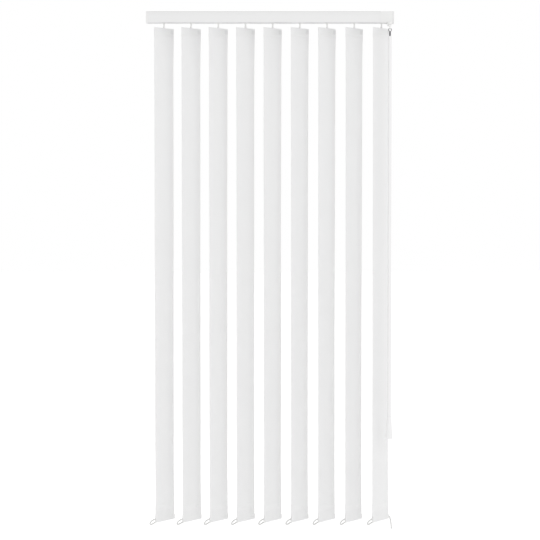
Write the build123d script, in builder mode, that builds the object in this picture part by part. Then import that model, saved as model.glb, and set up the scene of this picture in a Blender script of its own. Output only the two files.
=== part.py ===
"""Vertical blind with nine fabric slats, drawn and turned by one hanging wand.

The head rail is screwed to a ceiling. Nine carriers run in it, each with a worm
on the tilt rod that turns the stem its slat hangs from. Thin spacer strips hold
the carriers one pitch apart. The last carrier is the lead: the wand hangs from
its gear case, draws the row along the rail, and turns the rod when it is twisted.

Lengths are in millimetres. X runs along the rail, -Y faces the room and +Z is up.
The origin is the middle of the rail's top, in the plane of the ceiling.
"""

from build123d import *
import os
from math import cos, pi, radians, sin, sqrt

os.makedirs("parts", exist_ok=True)

# Head rail
rail_length = 728.0
rail_depth = 40.0
rail_height = 33.0
rail_wall = 1.3
rail_corner = 1.8
lip_width = 5.0
recess_depth = 4.0
slot_width = 14.0
track_rib = 1.0
face_groove_drop = 7.0
face_groove_depth = 0.4
face_groove_height = 0.8

# End caps
cap_plate = 3.0
plug_length = 3.2
plug_wall = 1.5
plug_clearance = 0.1
skirt_length = 40.0
skirt_wall = 1.0
skirt_slot_margin = 2.0
boss_radius = 4.6

# Ceiling brackets
bracket_spacing = 560.0
bracket_width = 25.0
bracket_sheet = 1.0
bracket_lip_gap = 0.4
bracket_grip = 3.6
screw_hole_radius = 2.25

# Tilt rod and worm drive
rod_radius = 2.5
rod_flute_radius = 0.7
rod_flutes = 4
rod_drop = 16.0
rod_end_gap = 0.3
module = 0.95
wheel_teeth = 15
wheel_width = 4.0
worm_pitch_radius = 4.3
tooth_addendum = 0.8
tooth_root_gap = 0.2
tooth_tip_width = 0.65
tooth_root_width = 1.45
worm_turns = 3.0
thread_sink = 0.33
worm_bearing_radius = 3.2
worm_bearing_length = 2.0
worm_bore_gap = 0.15
bearing_gap = 0.05

# Carriers
slat_count = 9
slat_pitch = 80.0
last_stem_from_end = 36.0
carrier_length = 22.0
carrier_base = 2.4
carrier_side_gap = 0.9
carrier_lift = 0.1
base_lift = 0.3
skid_width = 7.5
tongue_length = 18.0
tongue_gap = 0.6
tongue_drop = 1.0
hub_radius = 5.2
bearing_wall = 1.8
bearing_margin = 1.9
wheel_clearance = 0.4
snap_slot = 6.2
comb_length = 10.0
comb_floor = 1.2
comb_wheel_gap = 0.8
lane_count = 4
lane_pitch = 1.7
lane_start = 4.6
lane_gap = 0.3
comb_wall = 2.5
strip_thickness = 0.5
strip_height = 3.6
strip_overlap = 6.0
strip_lift = 0.3
strip_proud = 0.4

# Stems
shaft_radius = 3.0
collar_radius = 3.6
collar_height = 1.4
collar_gap = 0.1
neck_radius = 2.2
fork_width = 8.0
fork_height = 4.0
fork_above_slat = 0.4
jaw_thickness = 1.0
jaw_gap = 0.3
hook_bar_width = 5.0
hook_bar_height = 3.5

# Slats
slat_width = 89.0
slat_length = 1458.5
slat_top = 47.5
slat_angle = 54.0
fabric = 0.5
seam_taper = 4.0
weld_share = 0.6
top_pocket = 22.0
hanger_thickness = 1.2
hanger_width = 80.0
window_drop = 6.0
window_width = 9.0
window_height = 6.5
bottom_pocket = 48.0

# Bottom weights and the bead chain
weight_width = 84.0
weight_height = 38.0
weight_thickness = 1.6
weight_corner = 3.0
weight_slip = 0.05
ear_length = 4.5
ear_height = 14.0
chain_radius = 1.2
loop_sunk = 0.5
loop_reach = 21.5
loop_shoulder = 9.0
loop_heel = 12.0
loop_top_drop = 2.6
loop_shoulder_drop = 4.6
loop_low_drop = 12.0
loop_tip_drop = 12.6
loop_heel_drop = 15.6
loop_bend = 12.0
loop_tip_bend = 2.6
tail_bend_share = 0.45

# Wand
wand_offset = 22.0
wand_forward = 51.0
case_length = 17.0
case_wall = 2.6
case_rod_gap = 0.4
arm_width = 12.0
arm_thickness = 7.0
arm_gap = 1.0
arm_round = 2.0
wand_stem_radius = 2.5
wand_stem_depth = 5.2
wand_neck_radius = 3.5
wand_neck_length = 8.0
wand_stem_gap = 0.15
eye_thickness = 2.4
eye_radius = 1.7
eye_wall = 1.5
wire_radius = 0.9
hook_width = 8.0
hook_bend = 3.9
hook_open_leg = 9.0
hook_long_leg = 11.0
hook_return = 17.0
hook_drop = 22.0
hook_shank = 10.0
shank_gap = 0.05
wand_across = 9.0
wand_edge = 0.8
wand_length = 1172.0
grip_length = 63.0
grip_top_radius = 5.8
grip_radius = 10.0
grip_edge = 1.0
grip_below = 6.0

# Rail levels and inner faces
web_under = -recess_depth - rail_wall
flange_top = -rail_height + rail_wall
inner_half = rail_depth / 2 - rail_wall
rail_half = rail_length / 2
body_half = rail_half - cap_plate
slot_half = slot_width / 2

# Worm drive, worked out
lead = pi * module
wheel_radius = module * wheel_teeth / 2
wheel_tip = wheel_radius + tooth_addendum
centre_distance = wheel_radius + worm_pitch_radius
worm_tip = worm_pitch_radius + tooth_addendum
worm_core = centre_distance - wheel_tip - tooth_root_gap
wheel_root = centre_distance - worm_tip - tooth_root_gap
rod_y = -centre_distance
rod_z = -rod_drop
worm_length = worm_turns * lead + 2 * worm_bearing_length

# Carrier levels
skid_bottom = flange_top + carrier_lift
base_bottom = flange_top + track_rib + base_lift
base_top = base_bottom + carrier_base
carrier_half = inner_half - carrier_side_gap
tongue_bottom = -rail_height - tongue_drop
wheel_bottom = rod_z - wheel_width / 2
wheel_top = rod_z + wheel_width / 2
comb_bottom = wheel_top + comb_wheel_gap
comb_top = comb_bottom + comb_floor + strip_lift + strip_height - strip_proud
comb_start = lane_start - lane_pitch / 2
comb_end = comb_start + lane_count * lane_pitch

# Stem places, from the left
last_stem = rail_half - last_stem_from_end
stem_x = [last_stem - slat_pitch * (slat_count - 1 - i) for i in range(slat_count)]

# Slat levels
slat_z = -slat_top
slat_bottom = slat_z - slat_length
hanger_half = hanger_thickness / 2
top_half = hanger_half + fabric
weight_gap_half = weight_thickness / 2 + weight_slip
bottom_half = weight_gap_half + fabric
window_top = slat_z - window_drop
window_bottom = window_top - window_height
pocket_floor = slat_bottom + fabric

# Wand levels
wand_x = last_stem + wand_offset
wand_y = -wand_forward
arm_top = -rail_height - skirt_wall - arm_gap
arm_bottom = arm_top - arm_thickness
neck_top = arm_bottom - wand_stem_gap
neck_bottom = neck_top - wand_neck_length
eye_z = neck_bottom - eye_wall - eye_radius
wire_z = eye_z - eye_radius + wire_radius + wand_stem_gap
wand_top = wire_z - hook_drop
wand_bottom = wand_top - wand_length
grip_bottom = wand_bottom - grip_below
grip_top = grip_bottom + grip_length


def save(piece, name):
    """Labels a finished piece and writes it to its own file."""
    piece.part.label = name
    export_step(piece.part, f"parts/{name}.step")


def turned(x, angle=slat_angle):
    """The upright plane of a slat: its local x runs from the near edge to the far one."""
    along = (cos(radians(angle)), sin(radians(angle)), 0)
    across = (sin(radians(angle)), -cos(radians(angle)), 0)
    return Plane(origin=(x, 0, 0), x_dir=along, z_dir=across)


def end_on(x, angle=slat_angle):
    """The plane that cuts a slat across: its local x is the thickness and its local y is up."""
    along = (cos(radians(angle)), sin(radians(angle)), 0)
    across = (-sin(radians(angle)), cos(radians(angle)), 0)
    return Plane(origin=(x, 0, 0), x_dir=across, z_dir=along)


def block(x0, x1, y0, y1, z0, z1, mode=Mode.ADD):
    """Adds or cuts a plain block between two corners."""
    with Locations(((x0 + x1) / 2, (y0 + y1) / 2, (z0 + z1) / 2)):
        Box(abs(x1 - x0), abs(y1 - y0), abs(z1 - z0), mode=mode)


def across_plane(x):
    """The plane across the tilt rod at a place along the rail, with its local x towards the slats."""
    return Plane(origin=(x, rod_y, rod_z), x_dir=(0, 1, 0), z_dir=(1, 0, 0))


def rod_section(gap=0.0):
    """The fluted section of the tilt rod, drawn larger by a gap for the bore it slides in."""
    Circle(rod_radius + gap)
    with PolarLocations(rod_radius, rod_flutes):
        Circle(rod_flute_radius - gap, mode=Mode.SUBTRACT)


# The head rail is one extrusion: a track open below, and a recess above with two lips for the brackets
with BuildPart() as headrail:
    with BuildSketch(Plane.YZ.offset(-body_half)) as rail_section:
        with Locations((0, -rail_height / 2)):
            Rectangle(rail_depth, rail_height)
        fillet(rail_section.vertices(), rail_corner)
        with Locations((0, (web_under + flange_top) / 2)):
            Rectangle(2 * inner_half, web_under - flange_top, mode=Mode.SUBTRACT)
        with Locations((0, -(rail_wall + recess_depth) / 2)):
            Rectangle(2 * inner_half, recess_depth - rail_wall, mode=Mode.SUBTRACT)
        with Locations((0, -rail_wall / 2)):
            Rectangle(2 * (inner_half - lip_width), rail_wall, mode=Mode.SUBTRACT)
        with Locations((0, flange_top - rail_wall / 2)):
            Rectangle(slot_width, rail_wall, mode=Mode.SUBTRACT)
        with Locations(
            (slot_half + track_rib / 2, flange_top + track_rib / 2),
            (-slot_half - track_rib / 2, flange_top + track_rib / 2),
        ):
            Rectangle(track_rib, track_rib)
        groove_y = rail_depth / 2 - face_groove_depth / 2
        with Locations((groove_y, -face_groove_drop), (-groove_y, -face_groove_drop)):
            Rectangle(face_groove_depth, face_groove_height, mode=Mode.SUBTRACT)
    extrude(amount=2 * body_half)
save(headrail, "headrail")


def cap_inside(side):
    """The plug that fits inside the rail, with the blind bearing of the tilt rod. side is -1 or 1."""
    plug_half = inner_half - plug_clearance
    plug_top = web_under - plug_clearance
    plug_bottom = flange_top + track_rib + plug_clearance
    plug_plane = Plane.YZ.offset(side * body_half)
    with BuildSketch(plug_plane) as plug_section:
        with Locations((0, (plug_top + plug_bottom) / 2)):
            Rectangle(2 * plug_half, plug_top - plug_bottom)
            Rectangle(
                2 * (plug_half - plug_wall),
                plug_top - plug_bottom - 2 * plug_wall,
                mode=Mode.SUBTRACT,
            )
        with Locations((rod_y, rod_z)):
            Circle(boss_radius)
        with Locations(((rod_y - plug_half) / 2, rod_z)):
            Rectangle(plug_half + rod_y, 2 * boss_radius)
        with Locations((rod_y, rod_z)):
            Circle(rod_radius + bearing_gap, mode=Mode.SUBTRACT)
    extrude(plug_section.sketch, amount=-side * plug_length)


# The left end cap is a flat plate with a plug
with BuildPart() as end_cap_left:
    with BuildSketch(Plane.YZ.offset(-rail_half)) as left_plate:
        with Locations((0, -rail_height / 2)):
            Rectangle(rail_depth, rail_height)
        fillet(left_plate.vertices(), rail_corner)
    extrude(amount=cap_plate)
    cap_inside(-1)
save(end_cap_left, "end_cap_left")

# The right end cap also has a skirt that covers the last stretch of the rail, open under the slot
with BuildPart() as end_cap_right:
    cap_depth = rail_depth + 2 * skirt_wall
    cap_height = rail_height + skirt_wall
    with BuildSketch(Plane.YZ.offset(rail_half - skirt_length)) as skirt_section:
        with Locations((0, -cap_height / 2)):
            Rectangle(cap_depth, cap_height)
        skirt_feet = skirt_section.vertices().group_by(Axis.Z)[0]
        fillet(skirt_feet, rail_corner + skirt_wall)
    extrude(amount=skirt_length)
    with BuildSketch(Plane.YZ.offset(rail_half - skirt_length)) as rail_space:
        with Locations((0, -rail_height / 2)):
            Rectangle(rail_depth, rail_height)
        rail_feet = rail_space.vertices().group_by(Axis.Z)[0]
        fillet(rail_feet, rail_corner)
        with Locations((0, -cap_height / 2)):
            Rectangle(slot_width + 2 * skirt_slot_margin, cap_height)
    extrude(amount=skirt_length - cap_plate, mode=Mode.SUBTRACT)
    cap_inside(1)
save(end_cap_right, "end_cap_right")

# Two sheet-steel brackets grip under the lips and are screwed up through their middle
pad_half = inner_half - lip_width - bracket_lip_gap
foot_half = pad_half + bracket_lip_gap + bracket_grip
for side, name in ((-1, "bracket_left"), (1, "bracket_right")):
    bracket_x = side * bracket_spacing / 2
    with BuildPart() as bracket:
        with BuildSketch(Plane.YZ.offset(bracket_x - bracket_width / 2)):
            with Locations((0, -bracket_sheet / 2)):
                Rectangle(2 * pad_half, bracket_sheet)
            riser_height = rail_wall + bracket_sheet
            riser_y = pad_half - bracket_sheet / 2
            with Locations((riser_y, -riser_height / 2), (-riser_y, -riser_height / 2)):
                Rectangle(bracket_sheet, riser_height)
            foot_y = (riser_y + foot_half) / 2
            foot_z = -rail_wall - bracket_sheet / 2
            with Locations((foot_y, foot_z), (-foot_y, foot_z)):
                Rectangle(foot_half - riser_y, bracket_sheet)
        extrude(amount=bracket_width)
        with Locations((bracket_x, 0, 0)):
            Hole(screw_hole_radius, depth=bracket_sheet)
    save(bracket, name)

# The fluted tilt rod runs from cap to cap
with BuildPart() as tilt_rod:
    rod_half = body_half - rod_end_gap
    with BuildSketch(across_plane(-rod_half)):
        rod_section()
    extrude(amount=2 * rod_half)
save(tilt_rod, "tilt_rod")


def wheel_outline():
    """The toothed outline of the wheel, with a space between two teeth at the side of the worm."""
    points = []
    step = 360 / wheel_teeth
    for tooth in range(wheel_teeth):
        middle = radians(-90 + (tooth + 0.5) * step)
        root_turn = tooth_root_width / 2 / wheel_root
        tip_turn = tooth_tip_width / 2 / wheel_tip
        for radius, turn in (
            (wheel_root, -root_turn),
            (wheel_tip, -tip_turn),
            (wheel_tip, tip_turn),
            (wheel_root, root_turn),
        ):
            points.append((radius * cos(middle + turn), radius * sin(middle + turn)))
    return points


# One worm without its bore, along Z: a core, a single thread and a plain bearing at each end
thread_length = worm_turns * lead
thread_rise = thread_length - 2 * tooth_root_width
with BuildPart() as worm_form:
    Cylinder(worm_core, thread_length)
    with BuildLine() as thread_path:
        Helix(lead, thread_rise, worm_core, center=(0, 0, -thread_rise / 2))
    ridge = worm_tip - worm_core
    thread_start = Plane(origin=thread_path.line @ 0, x_dir=(1, 0, 0), z_dir=thread_path.line % 0)
    with BuildSketch(thread_start):
        with BuildLine():
            Polyline(
                (-thread_sink, -tooth_root_width / 2),
                (ridge, -tooth_tip_width / 2),
                (ridge, tooth_tip_width / 2),
                (-thread_sink, tooth_root_width / 2),
                close=True,
            )
        make_face()
    sweep(path=thread_path.line, is_frenet=True)
    Cylinder(worm_bearing_radius, worm_length)

# The thread's ridge at mid length is turned to face the wheel
ridge_turn = -pi * thread_rise / lead
for number, x in enumerate(stem_x, start=1):
    facing = (0, cos(ridge_turn), sin(ridge_turn))
    worm_place = Plane(origin=(x, rod_y, rod_z), x_dir=facing, z_dir=(1, 0, 0))
    with BuildPart() as worm:
        add(worm_form.part.moved(worm_place.location))
        with BuildSketch(across_plane(x - worm_length / 2)):
            rod_section(worm_bore_gap)
        extrude(amount=worm_length, mode=Mode.SUBTRACT)
    save(worm, f"worm_{number}")

# Each carrier rides on two skids, with a tongue in the slot, a hub for the stem and a seat for the worm
tongue_half = slot_half - tongue_gap
carrier_reach = carrier_length / 2
bearing_outer = worm_length / 2 - (worm_bearing_length - bearing_wall) / 2
bearing_inner = bearing_outer - bearing_wall
seat_inner_y = -sqrt((wheel_tip + wheel_clearance) ** 2 - bearing_inner**2)
seat_outer_y = rod_y - worm_bearing_radius - bearing_margin
seat_top = rod_z + worm_bearing_radius + bearing_margin
lane_floor = comb_bottom + comb_floor
strip_bottom = lane_floor + strip_lift
strip_top = strip_bottom + strip_height
lane_width = strip_thickness + 2 * lane_gap
for number, x in enumerate(stem_x, start=1):
    with BuildPart() as carrier:
        block(x - carrier_reach, x + carrier_reach, -carrier_half, carrier_half, base_bottom, base_top)
        for side in (-1, 1):
            skid_edge = side * carrier_half
            skid_inner = side * (carrier_half - skid_width)
            block(x - carrier_reach, x + carrier_reach, skid_inner, skid_edge, skid_bottom, base_bottom)
        tongue_reach = tongue_length / 2
        block(x - tongue_reach, x + tongue_reach, -tongue_half, tongue_half, tongue_bottom, base_bottom)
        with BuildSketch(Plane.XY.offset(base_bottom)):
            with Locations((x, 0)):
                Circle(hub_radius)
        extrude(amount=wheel_bottom - base_bottom)
        for side in (-1, 1):
            block(
                x + side * bearing_inner,
                x + side * bearing_outer,
                seat_outer_y,
                seat_inner_y,
                base_top,
                seat_top,
            )
        block(
            x - comb_length / 2,
            x + comb_length / 2,
            comb_end,
            comb_end + comb_wall,
            base_top,
            comb_top,
        )
        block(
            x - comb_length / 2,
            x + comb_length / 2,
            comb_start,
            comb_end,
            comb_bottom,
            comb_top,
        )
        for lane in range(lane_count):
            lane_y = lane_start + lane * lane_pitch
            block(
                x - comb_length / 2,
                x + comb_length / 2,
                lane_y - lane_width / 2,
                lane_y + lane_width / 2,
                lane_floor,
                comb_top,
                Mode.SUBTRACT,
            )
        if number < slat_count:
            own_y = lane_start + (number % lane_count) * lane_pitch
            block(
                x - comb_length / 2,
                x + comb_length / 2,
                own_y - lane_width / 2,
                own_y + lane_width / 2,
                lane_floor,
                comb_top,
            )
            block(
                x - comb_length / 2,
                x + slat_pitch + strip_overlap,
                own_y - strip_thickness / 2,
                own_y + strip_thickness / 2,
                strip_bottom,
                strip_top,
            )
        with BuildSketch(Plane.XY.offset(tongue_bottom)):
            with Locations((x, 0)):
                Circle(shaft_radius + bearing_gap)
        extrude(amount=wheel_bottom - tongue_bottom, mode=Mode.SUBTRACT)
        with BuildSketch(across_plane(x - bearing_outer)):
            Circle(worm_bearing_radius + bearing_gap)
            with Locations((0, (seat_top - rod_z) / 2)):
                Rectangle(snap_slot, seat_top - rod_z)
        extrude(amount=2 * bearing_outer, mode=Mode.SUBTRACT)
    save(carrier, f"carrier_{number}")

# Each stem is one moulding: the toothed wheel, the shaft, and the fork that hooks through the slat's window
collar_top = tongue_bottom - collar_gap
collar_bottom = collar_top - collar_height
fork_bottom = slat_z + fork_above_slat
fork_top = fork_bottom + fork_height
jaw_inner = top_half + jaw_gap
jaw_outer = jaw_inner + jaw_thickness
hook_bar_bottom = window_top - hook_bar_height
for number, x in enumerate(stem_x, start=1):
    with BuildPart() as stem:
        with BuildSketch(Plane.XY.offset(wheel_bottom)):
            with Locations((x, 0)):
                Polygon(*wheel_outline(), align=None)
        extrude(amount=wheel_width)
        for radius, top, bottom in (
            (shaft_radius, wheel_bottom, collar_top),
            (collar_radius, collar_top, collar_bottom),
            (neck_radius, collar_bottom, fork_top),
        ):
            with BuildSketch(Plane.XY.offset(bottom)):
                with Locations((x, 0)):
                    Circle(radius)
            extrude(amount=top - bottom)
        with BuildSketch(end_on(x).offset(-fork_width / 2)):
            with Locations((0, (fork_top + hook_bar_bottom) / 2)):
                Rectangle(2 * jaw_outer, fork_top - hook_bar_bottom)
            with Locations((0, (fork_bottom + hook_bar_bottom) / 2)):
                Rectangle(2 * jaw_inner, fork_bottom - hook_bar_bottom, mode=Mode.SUBTRACT)
        extrude(amount=fork_width)
        with BuildSketch(end_on(x).offset(-hook_bar_width / 2)):
            with Locations((0, (window_top + hook_bar_bottom) / 2)):
                Rectangle(2 * jaw_outer, hook_bar_height)
        extrude(amount=hook_bar_width)
    save(stem, f"stem_{number}")

# Each slat is one fabric strip folded into a pocket at both ends, with the stiff hanger welded in the top one
top_seam = slat_z - top_pocket
top_taper_end = top_seam - seam_taper
bottom_seam = slat_bottom + bottom_pocket
bottom_taper_end = bottom_seam + seam_taper
for number, x in enumerate(stem_x, start=1):
    with BuildPart() as slat:
        with BuildSketch(end_on(x).offset(-slat_width / 2)):
            with BuildLine():
                Polyline(
                    (-top_half, slat_z),
                    (top_half, slat_z),
                    (top_half, top_seam),
                    (fabric / 2, top_taper_end),
                    (fabric / 2, bottom_taper_end),
                    (bottom_half, bottom_seam),
                    (bottom_half, slat_bottom),
                    (-bottom_half, slat_bottom),
                    (-bottom_half, bottom_seam),
                    (-fabric / 2, bottom_taper_end),
                    (-fabric / 2, top_taper_end),
                    (-top_half, top_seam),
                    close=True,
                )
            make_face()
            with BuildLine():
                Polyline(
                    (-hanger_half, slat_z - fabric),
                    (hanger_half, slat_z - fabric),
                    (hanger_half, top_seam),
                    (0, top_seam - weld_share * seam_taper),
                    (-hanger_half, top_seam),
                    close=True,
                )
            make_face(mode=Mode.SUBTRACT)
            with BuildLine():
                Polyline(
                    (-weight_gap_half, pocket_floor),
                    (weight_gap_half, pocket_floor),
                    (weight_gap_half, bottom_seam),
                    (0, bottom_seam + weld_share * seam_taper),
                    (-weight_gap_half, bottom_seam),
                    close=True,
                )
            make_face(mode=Mode.SUBTRACT)
        extrude(amount=slat_width)
        with BuildSketch(end_on(x).offset(-hanger_width / 2)):
            with Locations((0, (slat_z - fabric + top_seam) / 2)):
                Rectangle(hanger_thickness, top_pocket - fabric)
        extrude(amount=hanger_width)
        with BuildSketch(turned(x).offset(-top_half)):
            with Locations((0, (window_top + window_bottom) / 2)):
                Rectangle(window_width, window_height)
        extrude(amount=2 * top_half, mode=Mode.SUBTRACT)
    save(slat, f"slat_{number}")

# Each weight is a plate in the bottom pocket, with two ears and a short loop of bead chain on the near one
weight_half = weight_width / 2
ear_tip = weight_half + ear_length
ear_top = pocket_floor + ear_height
for number, x in enumerate(stem_x, start=1):
    with BuildPart() as weight:
        with BuildSketch(turned(x).offset(-weight_thickness / 2)) as weight_plate:
            with Locations((0, pocket_floor + weight_height / 2)):
                Rectangle(weight_width, weight_height)
            fillet(weight_plate.vertices(), weight_corner)
            with Locations((0, pocket_floor + ear_height / 2)):
                RectangleRounded(2 * ear_tip, ear_height, weight_corner)
        extrude(amount=weight_thickness)
        loop_points = [
            (-ear_tip + loop_sunk, ear_top - loop_top_drop),
            (-ear_tip - loop_shoulder, ear_top - loop_shoulder_drop),
            (-ear_tip - loop_reach, ear_top - loop_tip_drop),
            (-ear_tip - loop_heel, ear_top - loop_heel_drop),
            (-ear_tip + loop_sunk, ear_top - loop_low_drop),
        ]
        with BuildLine(turned(x)) as loop_path:
            FilletPolyline(*loop_points, radius=[loop_bend, loop_tip_bend, loop_bend])
        with BuildSketch(Plane(origin=loop_path.line @ 0, z_dir=loop_path.line % 0)):
            Circle(chain_radius)
        sweep(path=loop_path.line)
    save(weight, f"weight_{number}")

# The end of the bead chain hangs from the far ear of the last weight, in millimetres from the ear's tip
tail_route = [
    (0.0, 0.0, 0.0),
    (2.65, 3.64, 0.0),
    (6.0, 5.2, -5.0),
    (7.2, 5.0, -14.0),
    (7.9, 4.6, -24.0),
    (8.3, 4.4, -33.0),
    (8.4, 4.5, -40.0),
]
tail_from = turned(last_stem).from_local_coords((ear_tip, ear_top - ear_height / 2, 0))
tail_points = [tail_from + Vector(*point) for point in tail_route]
tail_radii = []
for before, here, after in zip(tail_points, tail_points[1:], tail_points[2:]):
    half_turn = radians((here - before).get_angle(after - here)) / 2
    shorter = min((here - before).length, (after - here).length)
    tail_radii.append(tail_bend_share * shorter * cos(half_turn) / sin(half_turn))
with BuildPart() as chain_tail:
    with BuildLine() as tail_path:
        FilletPolyline(*tail_points, radius=tail_radii)
    with BuildSketch(Plane(origin=tail_path.line @ 0, z_dir=tail_path.line % 0)):
        Circle(chain_radius)
    sweep(path=tail_path.line)
save(chain_tail, "chain_tail")
tail_length = tail_path.wire().length
tube_volume = pi * chain_radius**2 * tail_length
print("tail length", round(tail_length, 2), "radii", [round(radius, 1) for radius in tail_radii])
print("tail volume over section times length", round(chain_tail.part.volume / tube_volume, 4))

# The lead case rides beside the last carrier, grips the rod, and reaches under the rail to the wand
case_start = last_stem + carrier_reach
case_end = case_start + case_length
case_top = rod_z + rod_radius + case_rod_gap + case_wall
case_inner_y = rod_y + rod_radius + case_rod_gap + case_wall
arm_half = arm_width / 2
with BuildPart() as lead_case:
    block(case_start, case_end, -carrier_half, carrier_half, base_bottom, base_top)
    for side in (-1, 1):
        skid_inner = side * (carrier_half - skid_width)
        block(case_start, case_end, skid_inner, side * carrier_half, skid_bottom, base_bottom)
    block(case_start, case_end, -carrier_half, case_inner_y, base_top, case_top)
    block(case_start, case_end, -tongue_half, tongue_half, arm_top, base_bottom)
    with BuildSketch(Plane.XY.offset(arm_bottom)) as arm_section:
        with Locations((wand_x, (wand_y + tongue_half) / 2)):
            Rectangle(arm_width, tongue_half - wand_y)
        with Locations((wand_x, wand_y)):
            Circle(arm_half)
    extrude(amount=arm_thickness)
    arm_rim = lead_case.edges().group_by(Axis.Z)[0]
    fillet(arm_rim, arm_round)
    with BuildSketch(across_plane(case_start)):
        Circle(rod_radius + case_rod_gap)
    extrude(amount=case_length, mode=Mode.SUBTRACT)
    with BuildSketch(Plane.XY.offset(arm_bottom)):
        with Locations((wand_x, wand_y)):
            Circle(wand_stem_radius + bearing_gap)
    extrude(amount=wand_stem_depth, mode=Mode.SUBTRACT)
save(lead_case, "lead_case")

# The wand stem turns in the arm and ends in an eye
with BuildPart() as wand_stem:
    shaft_top = arm_bottom + wand_stem_depth - wand_stem_gap
    for radius, top, bottom in (
        (wand_stem_radius, shaft_top, neck_top),
        (wand_neck_radius, neck_top, neck_bottom),
    ):
        with BuildSketch(Plane.XY.offset(bottom)):
            with Locations((wand_x, wand_y)):
                Circle(radius)
        extrude(amount=top - bottom)
    eye_plane = Plane(origin=(wand_x - eye_thickness / 2, wand_y, 0), x_dir=(0, 1, 0), z_dir=(1, 0, 0))
    with BuildSketch(eye_plane):
        with Locations((0, eye_z)):
            Circle(eye_radius + eye_wall)
        with Locations((0, (eye_z + neck_bottom) / 2)):
            Rectangle(2 * (eye_radius + eye_wall), neck_bottom - eye_z)
        with Locations((0, eye_z)):
            Circle(eye_radius, mode=Mode.SUBTRACT)
    extrude(amount=eye_thickness)
save(wand_stem, "wand_stem")

# The hook is one bent wire: through the eye, round, and down into the wand
hook_half = hook_width / 2
hook_plane = Plane(origin=(wand_x, wand_y, 0), x_dir=(1, 0, 0), z_dir=(0, -1, 0))
with BuildPart() as wand_hook:
    with BuildLine(hook_plane) as hook_path:
        FilletPolyline(
            (-hook_half, wire_z - hook_open_leg),
            (-hook_half, wire_z),
            (hook_half, wire_z),
            (hook_half, wire_z - hook_long_leg),
            (0, wire_z - hook_return),
            (0, wand_top - hook_shank),
            radius=[hook_bend, hook_bend, hook_bend, hook_bend],
        )
    with BuildSketch(Plane(origin=hook_path.line @ 0, z_dir=hook_path.line % 0)):
        Circle(wire_radius)
    sweep(path=hook_path.line)
save(wand_hook, "wand_hook")


def wand_section():
    """The six-sided section of the wand with softened edges."""
    with Locations((wand_x, wand_y)):
        RegularPolygon(wand_across / 2, 6, major_radius=False)


# The wand is a six-sided rod with a hole in its top for the hook
with BuildPart() as wand:
    with BuildSketch(Plane.XY.offset(wand_bottom)) as wand_outline:
        wand_section()
        fillet(wand_outline.vertices(), wand_edge)
    extrude(amount=wand_length)
    with BuildSketch(Plane.XY.offset(wand_top - hook_shank - wire_radius)):
        with Locations((wand_x, wand_y)):
            Circle(wire_radius + shank_gap)
    extrude(amount=hook_shank + wire_radius, mode=Mode.SUBTRACT)
save(wand, "wand")

# The grip is a flared sleeve closed at the bottom
with BuildPart() as wand_grip:
    with BuildSketch(Plane(origin=(wand_x, wand_y, 0), x_dir=(1, 0, 0), z_dir=(0, -1, 0))) as grip_profile:
        with BuildLine():
            Polyline(
                (0, grip_bottom),
                (grip_radius, grip_bottom),
                (grip_top_radius, grip_top),
                (0, grip_top),
                close=True,
            )
        make_face()
        rim = grip_profile.vertices().filter_by_position(Axis.X, wand_x + grip_edge, wand_x + 2 * grip_radius)
        fillet(rim, grip_edge)
    revolve(axis=Axis((wand_x, wand_y, 0), (0, 0, 1)))
    with BuildSketch(Plane.XY.offset(wand_bottom)) as grip_bore:
        wand_section()
        fillet(grip_bore.vertices(), wand_edge)
    extrude(amount=wand_length, mode=Mode.SUBTRACT)
save(wand_grip, "wand_grip")
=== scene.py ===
import bpy
import numpy as np
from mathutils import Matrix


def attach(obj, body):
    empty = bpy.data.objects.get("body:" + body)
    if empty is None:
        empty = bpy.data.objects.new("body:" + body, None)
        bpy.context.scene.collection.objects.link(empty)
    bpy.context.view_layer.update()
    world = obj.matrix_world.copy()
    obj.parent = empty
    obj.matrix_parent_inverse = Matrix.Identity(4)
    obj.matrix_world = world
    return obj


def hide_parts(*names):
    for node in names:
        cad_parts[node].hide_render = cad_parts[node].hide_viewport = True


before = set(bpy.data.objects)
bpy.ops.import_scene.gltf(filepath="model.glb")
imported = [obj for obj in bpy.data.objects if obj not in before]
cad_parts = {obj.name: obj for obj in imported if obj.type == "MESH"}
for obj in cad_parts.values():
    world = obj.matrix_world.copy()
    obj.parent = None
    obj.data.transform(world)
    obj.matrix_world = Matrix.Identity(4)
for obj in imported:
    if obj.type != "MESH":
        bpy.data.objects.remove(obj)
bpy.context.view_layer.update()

# STUDIO
# A white room with no wall behind the blind: a pale floor well below the slats, an even soft
# light from all round, a broad lamp in front, to the right, where the slats' faces look, and one
# behind, to the left, which lights their backs and so the spaces between them.
scene = bpy.context.scene
scene.view_settings.view_transform = "Standard"
camera_distance = 5.5
view_width = 1.596
eye_level = -0.549
view_middle = -0.7600
sensor_width = 36.0
camera_data = bpy.data.cameras.new("camera")
camera = bpy.data.objects.new("camera", camera_data)
scene.collection.objects.link(camera)
scene.camera = camera
camera.location = (0.0, -camera_distance, eye_level)
camera_tilt = np.arctan((eye_level - view_middle) / camera_distance)
camera.rotation_euler = (np.pi / 2 - camera_tilt, 0, 0)
camera_data.sensor_width = sensor_width
camera_data.lens = sensor_width * camera_distance / view_width
camera_data.clip_end = 200.0


def join(tree, start, end):
    """Links a socket or sets a value on another socket."""
    if isinstance(start, bpy.types.NodeSocket):
        tree.links.new(start, end)
    else:
        end.default_value = start


def sums(tree, kind, *terms):
    """A Math node of that kind over two or three sockets or numbers, and its result."""
    node = tree.nodes.new("ShaderNodeMath")
    node.operation = kind
    for number, term in enumerate(terms):
        join(tree, term, node.inputs[number])
    return node.outputs[0]


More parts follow.
